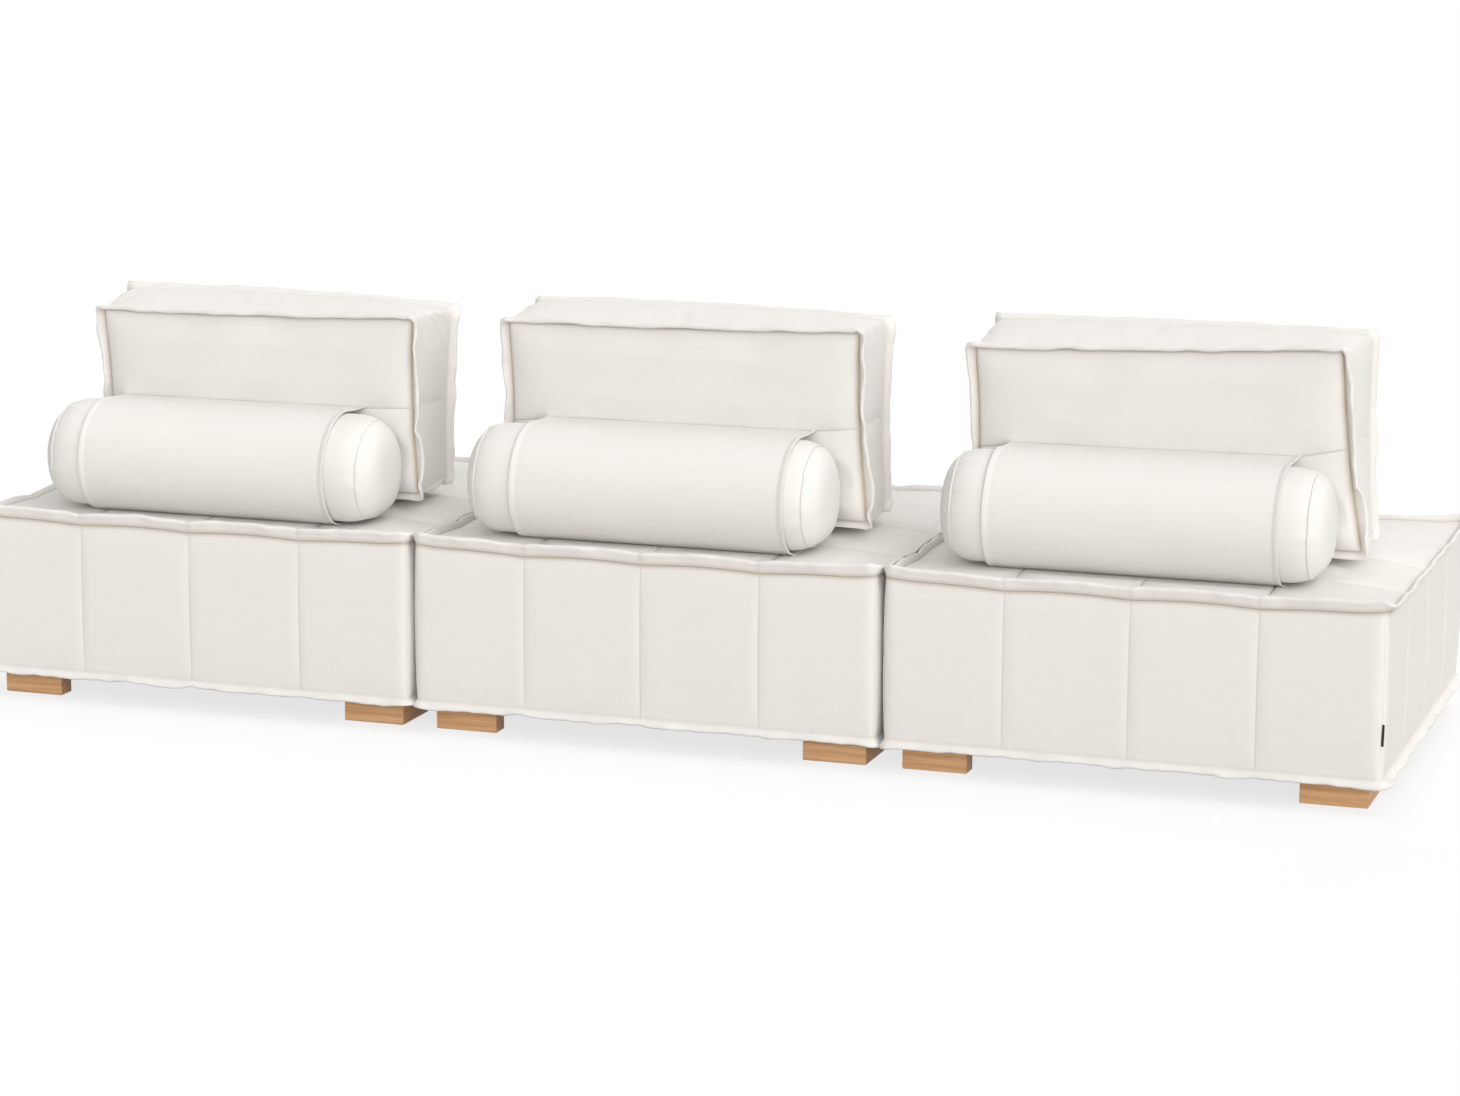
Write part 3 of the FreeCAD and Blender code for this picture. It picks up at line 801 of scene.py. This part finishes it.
def make_foot():
    """One corner foot of two boards mitred together, its outer corner at the origin."""
    boards = []
    for k in (0, 1):
        size = np.array((FOOT_BOARD, FOOT_BOARD, FOOT_H))
        size[k] = FOOT_LEG
        board = new_box(size, size * (-0.5, -0.5, 0.5))
        inner = np.array((-FOOT_BOARD, -FOOT_BOARD))
        inner[k] = 0.0
        with editing(board, "DESELECT") as shape:
            for vertex in shape.verts:
                vertex.select = np.allclose(vertex.co[:2], inner, atol=1e-5)
            shape.select_flush(True)
            bmesh.update_edit_mesh(board.data)
            bpy.ops.transform.translate(value=(*(-FOOT_BOARD - inner), 0))
            bpy.ops.mesh.select_all(action="SELECT")
            bpy.ops.mesh.bevel(offset=FOOT_ROUND, segments=3, affect="EDGES")
        spots = places(board)
        grain = board.data.attributes.new("grain", "FLOAT_VECTOR", "POINT")
        lines = stacked(spots[:, k] + 0.3 * k, spots[:, 1 - k] + 0.11 * k, spots[:, 2])
        grain.data.foreach_set("vector", lines.ravel())
        boards.append(board)
    only(boards[0])
    boards[1].select_set(True)
    bpy.ops.object.join()
    bpy.ops.object.shade_smooth_by_angle(angle=math.radians(40))
    return boards[0]


def place_foot(master, node, number):
    """A copy of the foot in its corner, cut from another stretch of the wood."""
    low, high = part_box(node)
    sign_x = 1 if "_right" in node.split("_foot_")[1] else -1
    sign_y = 1 if "rear" in node else -1
    foot = copy_of(master, node + "_boards")
    corner = np.array((high[0] if sign_x > 0 else low[0], high[1] if sign_y > 0 else low[1], 0.0))
    put(foot, places(foot) * np.array((sign_x, sign_y, 1.0)) + corner)
    if sign_x * sign_y < 0:
        face_outwards(foot)
    grain = foot.data.attributes["grain"]
    lines = np.empty(len(grain.data) * 3)
    grain.data.foreach_get("vector", lines)
    lines = lines.reshape(-1, 3) + np.array((0.37, 0.029, 0.041)) * number
    grain.data.foreach_set("vector", lines.ravel())
    return foot


def make_underside(module):
    """The thin cloth stapled under the frame, sagging a little between the feet."""
    low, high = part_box(module + "_dust_cover")
    xs = np.linspace(low[0], high[0], 49)
    ys = np.linspace(low[1], high[1], 49)
    x, y = np.meshgrid(xs, ys, indexing="ij")
    a = 1 - ((x - (low[0] + high[0]) / 2) / (high[0] - low[0]) * 2) ** 2
    b = 1 - (y / high[1]) ** 2
    work = Cutting()
    layers = []
    for level in (0.0, DUST_THICK):
        z = low[2] + 0.0002 + level - DUST_SAG * a * b
        layers.append(work.lay(stacked(x, y, z)))
    work.grid(layers[1], x, y)
    work.grid(layers[0], x, y, flip=True)
    edges = np.array([closed(rim(layer)) for layer in layers])
    work.grid(edges, closed(rim(x)), closed(rim(y)), flip=True)
    return work.sew(module + "_underside")


def make_tab():
    """A small plain folded tab in the left block's rear corner seam."""
    low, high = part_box("left_label_tab")
    middle = [(a + b) / 2 for a, b in zip(low, high)]
    tab = new_box(TAB)
    tab.name = tab.data.name = "left_corner_tab"
    with editing(tab):
        bpy.ops.mesh.subdivide(number_cuts=5)
    rounding = tab.modifiers.new("rounding", "BEVEL")
    rounding.width = 0.0005
    rounding.segments = 2
    bpy.ops.object.modifier_apply(modifier=rounding.name)
    x, y, z = places(tab).T
    y = y + 0.0012 * np.sin(x / TAB[0] * math.pi) + 0.0004 * np.sin(z / 0.012)
    c = math.sqrt(0.5)
    put(tab, stacked(-c * x - c * y, c * x - c * y, z) + np.array(middle) + np.array((-0.003, 0.003, 0.0)))
    bpy.ops.object.shade_smooth_by_angle(angle=math.radians(40))
    return tab


# Finishes

BLACK = (0, 0, 0, 1)
WHITE = (1, 1, 1, 1)


class Shade:
    """A value in a finish's nodes, so that shader maths reads as Python."""

    def __init__(self, recipe, output):
        self.recipe = recipe
        self.output = output

    def other(self, name):
        """Another output of the same node."""
        return Shade(self.recipe, self.output.node.outputs[name])

    def maths(self, operation, first, second=0.0):
        return self.recipe.node("ShaderNodeMath", {"operation": operation}, {0: first, 1: second})

    def __add__(self, other):
        return self.maths("ADD", self, other)

    def __sub__(self, other):
        return self.maths("SUBTRACT", self, other)

    def __rsub__(self, other):
        return self.maths("SUBTRACT", other, self)

    def __mul__(self, other):
        return self.maths("MULTIPLY", self, other)

    def __pow__(self, other):
        return self.maths("POWER", self, other)

    __radd__ = __add__
    __rmul__ = __mul__

    def sine(self):
        return self.maths("SINE", self)

    def size(self):
        return self.maths("ABSOLUTE", self)


class Recipe:
    """One finish: a material and its nodes."""

    def __init__(self, name):
        self.material = bpy.data.materials.new(name)
        self.material.use_nodes = True
        self.tree = self.material.node_tree
        self.shader = self.tree.nodes["Principled BSDF"]

    def feed(self, socket, value):
        if isinstance(value, Shade):
            self.tree.links.new(value.output, socket)
        else:
            socket.default_value = value

    def node(self, kind, settings=None, sockets=None, output=0):
        made = self.tree.nodes.new(kind)
        for key, value in (settings or {}).items():
            if key == "stops":
                ramp = made.color_ramp.elements
                while len(ramp) < len(value):
                    ramp.new(0.5)
                for element, (place, colour) in zip(ramp, value):
                    element.position = place
                    element.color = colour
            else:
                setattr(made, key, value)
        for key, value in (sockets or {}).items():
            self.feed(made.inputs[key], value)
        return Shade(self, made.outputs[output])

    def spot(self):
        """Where a point lies in the piece's own frame."""
        return self.node("ShaderNodeTexCoord", output=3)

    def vector(self, x, y, z=0.0):
        return self.node("ShaderNodeCombineXYZ", {}, {0: x, 1: y, 2: z})

    def split(self, vector):
        x = self.node("ShaderNodeSeparateXYZ", {}, {0: vector})
        return x, x.other("Y"), x.other("Z")

    def noise(self, vector, scale, detail=2.0, roughness=0.5):
        return self.node("ShaderNodeTexNoise", {}, {"Vector": vector, "Scale": scale, "Detail": detail,
                                                    "Roughness": roughness})

    def ramp(self, value, *steps):
        return self.node("ShaderNodeValToRGB", {"stops": steps}, {0: value})

    def mix(self, part, first, second):
        return self.node("ShaderNodeMix", {"data_type": "RGBA"}, {0: part, 6: first, 7: second}, output=2)

    def bump(self, height, strength, distance):
        return self.node("ShaderNodeBump", {}, {"Strength": strength, "Distance": distance, "Height": height})

    def set(self, **values):
        for key, value in values.items():
            self.feed(self.shader.inputs[key.replace("_", " ")], value)


def linen_finish(name, stitched=False):
    """Matt off-white linen: fine crossing threads, thicker slubs across, faint cloudiness, and on a folded
    edge a row of stitches along each side. Seams, folded edges and the sunken stitch row are painted darker
    brown as painted shade."""
    r = Recipe(name)
    u, v, _ = r.split(r.node("ShaderNodeUVMap", {"uv_map": "cloth"}))
    threads = (u * (TURN / 0.0016)).sine() * (v * (TURN / 0.0013)).sine()
    slub = r.noise(r.vector(u * 9.0, v * 520.0), 1.0, 3.0, 0.6)
    upright = r.noise(r.vector(u * 640.0, v * 12.0), 1.0, 2.0, 0.5)
    cloud = r.noise(r.vector(u, v), 5.0, 3.0, 0.55)
    slubs = r.ramp(slub, (0.42, BLACK), (0.72, WHITE))
    tone = r.mix(cloud, (0.768, 0.748, 0.718, 1), (0.800, 0.782, 0.756, 1))
    tone = r.mix(slubs * 0.35, tone, (0.836, 0.820, 0.796, 1))
    tone = r.mix(upright * 0.10, tone, (0.715, 0.686, 0.636, 1))
    # Painted shade: a warm brown tint where a point is marked as lying deep in a seam or folded edge.
    crease = r.node("ShaderNodeAttribute", {"attribute_name": "crease"}, output=2)
    tone = r.mix(crease * 0.75, tone, (0.40, 0.31, 0.20, 1))
    relief = 0.45 * threads + 0.9 * slubs + 0.35 * upright
    if stitched:
        inward = FOLD_CLOTH / 2 - (v - FOLD_CLOTH / 2).size()
        row = r.ramp((inward - 0.0066).size() * 500.0, (0.15, WHITE), (0.55, BLACK))
        dash = r.ramp((u * (TURN / 0.0046)).sine() * 0.5 + 0.5, (0.28, BLACK), (0.45, WHITE))
        # Painted shade along the sunken stitch row; the lighter dashes are the thread.
        tone = r.mix(row * 0.34, tone, (0.50, 0.42, 0.32, 1))
        tone = r.mix(row * dash * 0.8, tone, (0.80, 0.78, 0.74, 1))
        relief = relief - 2.2 * row + 2.6 * row * dash
    r.set(Base_Color=tone, Roughness=0.82 + 0.14 * cloud, Sheen_Weight=0.18, Sheen_Roughness=0.5,
          Specular_IOR_Level=0.2, Normal=r.bump(relief, 0.32, 0.0006))
    return r.material


def wood_finish():
    """Clear matt oiled light wood with fine straight grain along each board."""
    r = Recipe("foot_wood")
    a, b, c = r.split(r.node("ShaderNodeAttribute", {"attribute_name": "grain"}, output=1))
    drift = r.noise(r.vector(a * 3.0, b * 9.0, c * 9.0), 1.0, 2.0)
    rings = ((b * 0.5 + c + drift * 0.030) * 330.0).sine() * 0.5 + 0.5
    streak = r.noise(r.vector(a * 8.0, b * 190.0, c * 190.0), 1.0, 3.0, 0.6)
    pores = r.noise(r.vector(a * 30.0, b * 900.0, c * 900.0), 1.0, 2.0, 0.6)
    patch = r.noise(r.vector(a * 2.0, b * 14.0, c * 14.0), 1.0, 2.0)
    streaks = r.ramp(streak, (0.46, BLACK), (0.70, WHITE))
    pits = r.ramp(pores, (0.60, BLACK), (0.74, WHITE))
    tone = r.mix(patch, (0.690, 0.385, 0.185, 1), (0.800, 0.500, 0.270, 1))
    tone = r.mix(rings ** 2.0 * 0.42, tone, (0.500, 0.255, 0.105, 1))
    tone = r.mix(streaks * 0.55, tone, (0.420, 0.205, 0.082, 1))
    tone = r.mix(pits * 0.30, tone, (0.330, 0.165, 0.070, 1))
    r.set(Base_Color=tone, Roughness=0.46 + 0.16 * streak, Specular_IOR_Level=0.4,
          Normal=r.bump(pores + 0.5 * streak, 0.12, 0.0004))
    return r.material


def cloth_finish(name, dark, light, grain):
    """A plain woven or felted cloth."""
    r = Recipe(name)
    at = r.spot()
    fuzz = r.noise(at, grain, 4.0, 0.65)
    cloud = r.noise(at, 9.0, 2.0)
    tone = r.mix(fuzz * 0.7 + cloud * 0.3, dark, light)
    r.set(Base_Color=tone, Roughness=0.85 + 0.1 * fuzz, Normal=r.bump(fuzz, 0.25, 0.0006))
    return r.material


def tab_finish():
    """Black ribbed tape."""
    r = Recipe("black_tab")
    x, y, z = r.split(r.spot())
    rib = (z * (TURN / 0.0009)).sine() * ((x - y) * (TURN / 0.0012)).sine()
    tone = r.mix(rib * 0.5 + 0.5, (0.010, 0.010, 0.011, 1), (0.026, 0.025, 0.025, 1))
    r.set(Base_Color=tone, Roughness=0.70 + 0.08 * rib, Normal=r.bump(rib, 0.3, 0.0003))
    return r.material


def pine_finish():
    """Plain sawn softwood."""
    r = Recipe("frame_pine")
    x, y, z = r.split(r.spot())
    bands = r.noise(r.vector(x * 4.0, y * 4.0, z * 120.0), 1.0, 3.0, 0.6)
    tone = r.mix(bands, (0.74, 0.56, 0.33, 1), (0.60, 0.40, 0.19, 1))
    r.set(Base_Color=tone, Roughness=0.6 + 0.2 * bands, Normal=r.bump(bands, 0.15, 0.0008))
    return r.material


def zinc_finish():
    """Hazy plated steel."""
    r = Recipe("zinc_steel")
    haze = r.noise(r.spot(), 240.0, 3.0)
    r.set(Base_Color=r.mix(haze, (0.52, 0.53, 0.55, 1), (0.66, 0.66, 0.68, 1)), Metallic=1.0,
          Roughness=0.30 + 0.2 * haze)
    return r.material


def dress(piece, material):
    piece.data.materials.clear()
    piece.data.materials.append(material)


def settle(piece, body, slot, material, *nodes):
    """Gives a piece its finish and body, and hides the solids that it stands for."""
    dress(piece, material)
    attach(piece, body)
    if nodes:
        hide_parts(*nodes)
    return piece


linen = linen_finish("linen")
edge_linen = linen_finish("linen_edge", stitched=True)
foot_wood = wood_finish()
dust_cloth = cloth_finish("dust_cloth", (0.010, 0.010, 0.010, 1), (0.040, 0.039, 0.038, 1), 900.0)
black_tab = tab_finish()
hidden = {"frame_rails": pine_finish(), "foot_bolts": zinc_finish(),
          "webbing": cloth_finish("webbing", (0.10, 0.095, 0.09, 1), (0.19, 0.18, 0.17, 1), 600.0),
          "back_core": cloth_finish("foam", (0.78, 0.74, 0.62, 1), (0.88, 0.85, 0.74, 1), 500.0)}
hidden["stretcher"] = hidden["corner_blocks"] = hidden["frame_rails"]
hidden["tee_nuts"] = hidden["foot_bolts"]
hidden["bolster_core"] = hidden["back_core"]
for node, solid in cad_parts.items():
    piece_kind = node.split("_", 1)[1]
    if piece_kind in hidden:
        dress(solid, hidden[piece_kind])


# Assembly

def press_seat(block, cushion):
    """Lowers the seat softly under the cushion's and the bolster's undersides."""
    spots = places(block)
    shapes = ((cushion.x, BACK_HALF, cushion.y - BACK_DEEP / 2, BACK_DEEP / 2, cushion.z - 0.0004),
              (cushion.roll_x, cushion.roll_end, cushion.roll_y, 0.066,
               cushion.roll_z - BOLSTER_FLAT - 0.0052))
    for x, half_x, y, half_y, low in shapes:
        past_x = np.maximum(np.abs(spots[:, 0] - x) - half_x, 0)
        past_y = np.maximum(np.abs(spots[:, 1] - y) - half_y, 0)
        lowered = np.minimum(spots[:, 2], low + (np.hypot(past_x, past_y) / 0.05) ** 2 * 0.012)
        spots[:, 2] = np.where(spots[:, 2] > 0.34, lowered, spots[:, 2])
    put(block, spots)


block_master = make_seat_block()
foot_master = make_foot()

for module, place in MODULES.items():
    base, back, roll = (module + part for part in ("_base", "_back", "_bolster"))
    turn = math.pi / 2 * (place + 1)
    shift = (place * PITCH, 0, 0)
    cushion = Cushion(module, 300 + 100 * place)
    block = copy_of(block_master, module + "_seat_block", turn, shift)
    press_seat(block, cushion)
    settle(block, base, "linen", linen, module + "_base_cover", module + "_seat_foam",
           module + "_side_padding")
    for edge in (make_top_flange(place), make_hem(place)):
        edge.name = edge.data.name = module + "_" + edge.name
        put(edge, places(edge) + np.array(shift))
        settle(edge, base, "linen", edge_linen)
    for number, corner in enumerate(("rear_right", "rear_left", "front_right", "front_left")):
        node = module + "_foot_" + corner
        settle(place_foot(foot_master, node, number + 4 * (place + 1)), base, "foot_wood", foot_wood, node)
    sheet = settle(make_underside(module), base, "dust_cloth", dust_cloth, module + "_dust_cover")
    pad = settle(cushion.make(), back, "linen", linen, module + "_back_cover", module + "_back_core")
    for which in (0, 1):
        settle(cushion.make_flange(which), back, "linen", edge_linen)
    bolster = settle(cushion.make_bolster(), roll, "linen", linen, module + "_bolster_cover",
                     module + "_bolster_core")
    for end in (0, 1):
        settle(cushion.make_cap_seam(end), roll, "linen", linen)
    sleeve = settle(cushion.make_sleeve(), back, "linen", linen, module + "_bolster_sleeve")

settle(make_tab(), "left_base", "tab", black_tab, "left_label_tab")
for master in (block_master, foot_master):
    bpy.data.objects.remove(master)


# Stage, light and camera

def floor_finish():
    """A floor that shows white to the eye, with part of the shadow on it, and throws back half its light."""
    r = Recipe("white_floor")
    grain = r.noise(r.spot(), 2.0, 2.0)
    r.set(Base_Color=r.mix(grain, (0.95, 0.95, 0.95, 1), (0.97, 0.97, 0.97, 1)), Roughness=0.9,
          Specular_IOR_Level=0.1)
    plain = Shade(r, r.shader.outputs[0])
    white = r.node("ShaderNodeEmission", {}, {"Color": WHITE, "Strength": 1.0})
    shown = r.node("ShaderNodeMixShader", {}, {0: 0.75, 1: plain, 2: white})
    thrown = r.node("ShaderNodeBsdfDiffuse", {}, {"Color": (0.56, 0.54, 0.51, 1)})
    rays = r.node("ShaderNodeLightPath")
    direct = rays.other("Is Camera Ray") + rays.other("Is Glossy Ray")
    part = r.node("ShaderNodeMath", {"operation": "ADD", "use_clamp": True},
                  {0: direct, 1: rays.other("Is Transmission Ray")})
    both = r.node("ShaderNodeMixShader", {}, {0: part, 1: thrown, 2: shown})
    r.feed(r.tree.nodes["Material Output"].inputs["Surface"], both)
    return r.material


bpy.ops.object.select_all(action="DESELECT")
bpy.ops.mesh.primitive_plane_add(size=120, location=(0, 0, 0))
floor = bpy.context.active_object
floor.name = "floor"
dress(floor, floor_finish())

world = bpy.data.worlds.new("studio")
scene.world = world
world.use_nodes = True
sky = world.node_tree.nodes["Background"]
sky.inputs["Color"].default_value = (1.0, 0.985, 0.955, 1)
sky.inputs["Strength"].default_value = 0.34


def soft_sun(name, place, strength, spread):
    """Light as from a wide lamp that shines from a place towards the middle of the sofa."""
    data = bpy.data.lights.new(name, "SUN")
    data.energy = strength
    data.angle = math.radians(spread)
    light = added(name, data)
    light.location = place
    x, y, z = place
    light.rotation_euler = (math.acos(z / math.hypot(x, y, z)), 0, math.atan2(-y, -x) - math.pi / 2)


soft_sun("top", (-2.5, -2.5, 9.3), 0.66, 50)
soft_sun("key", (-3.0, 9.0, 2.4), 1.84, 45)
soft_sun("side", (-7.5, 2.5, 6.1), 1.40, 50)
soft_sun("fill", (4.5, -8.0, 4.0), 0.95, 60)

lens = bpy.data.cameras.new("camera")
lens.sensor_fit = "HORIZONTAL"
lens.sensor_width = 36
lens.lens = 94.973
lens.clip_end = 200
camera = added("camera", lens)
camera.location = (-2.4543, 7.2105, 1.7941)
camera.rotation_euler = [math.radians(a) for a in (78.985, -0.272, -161.305)]
scene.camera = camera
scene.view_settings.view_transform = "Standard"
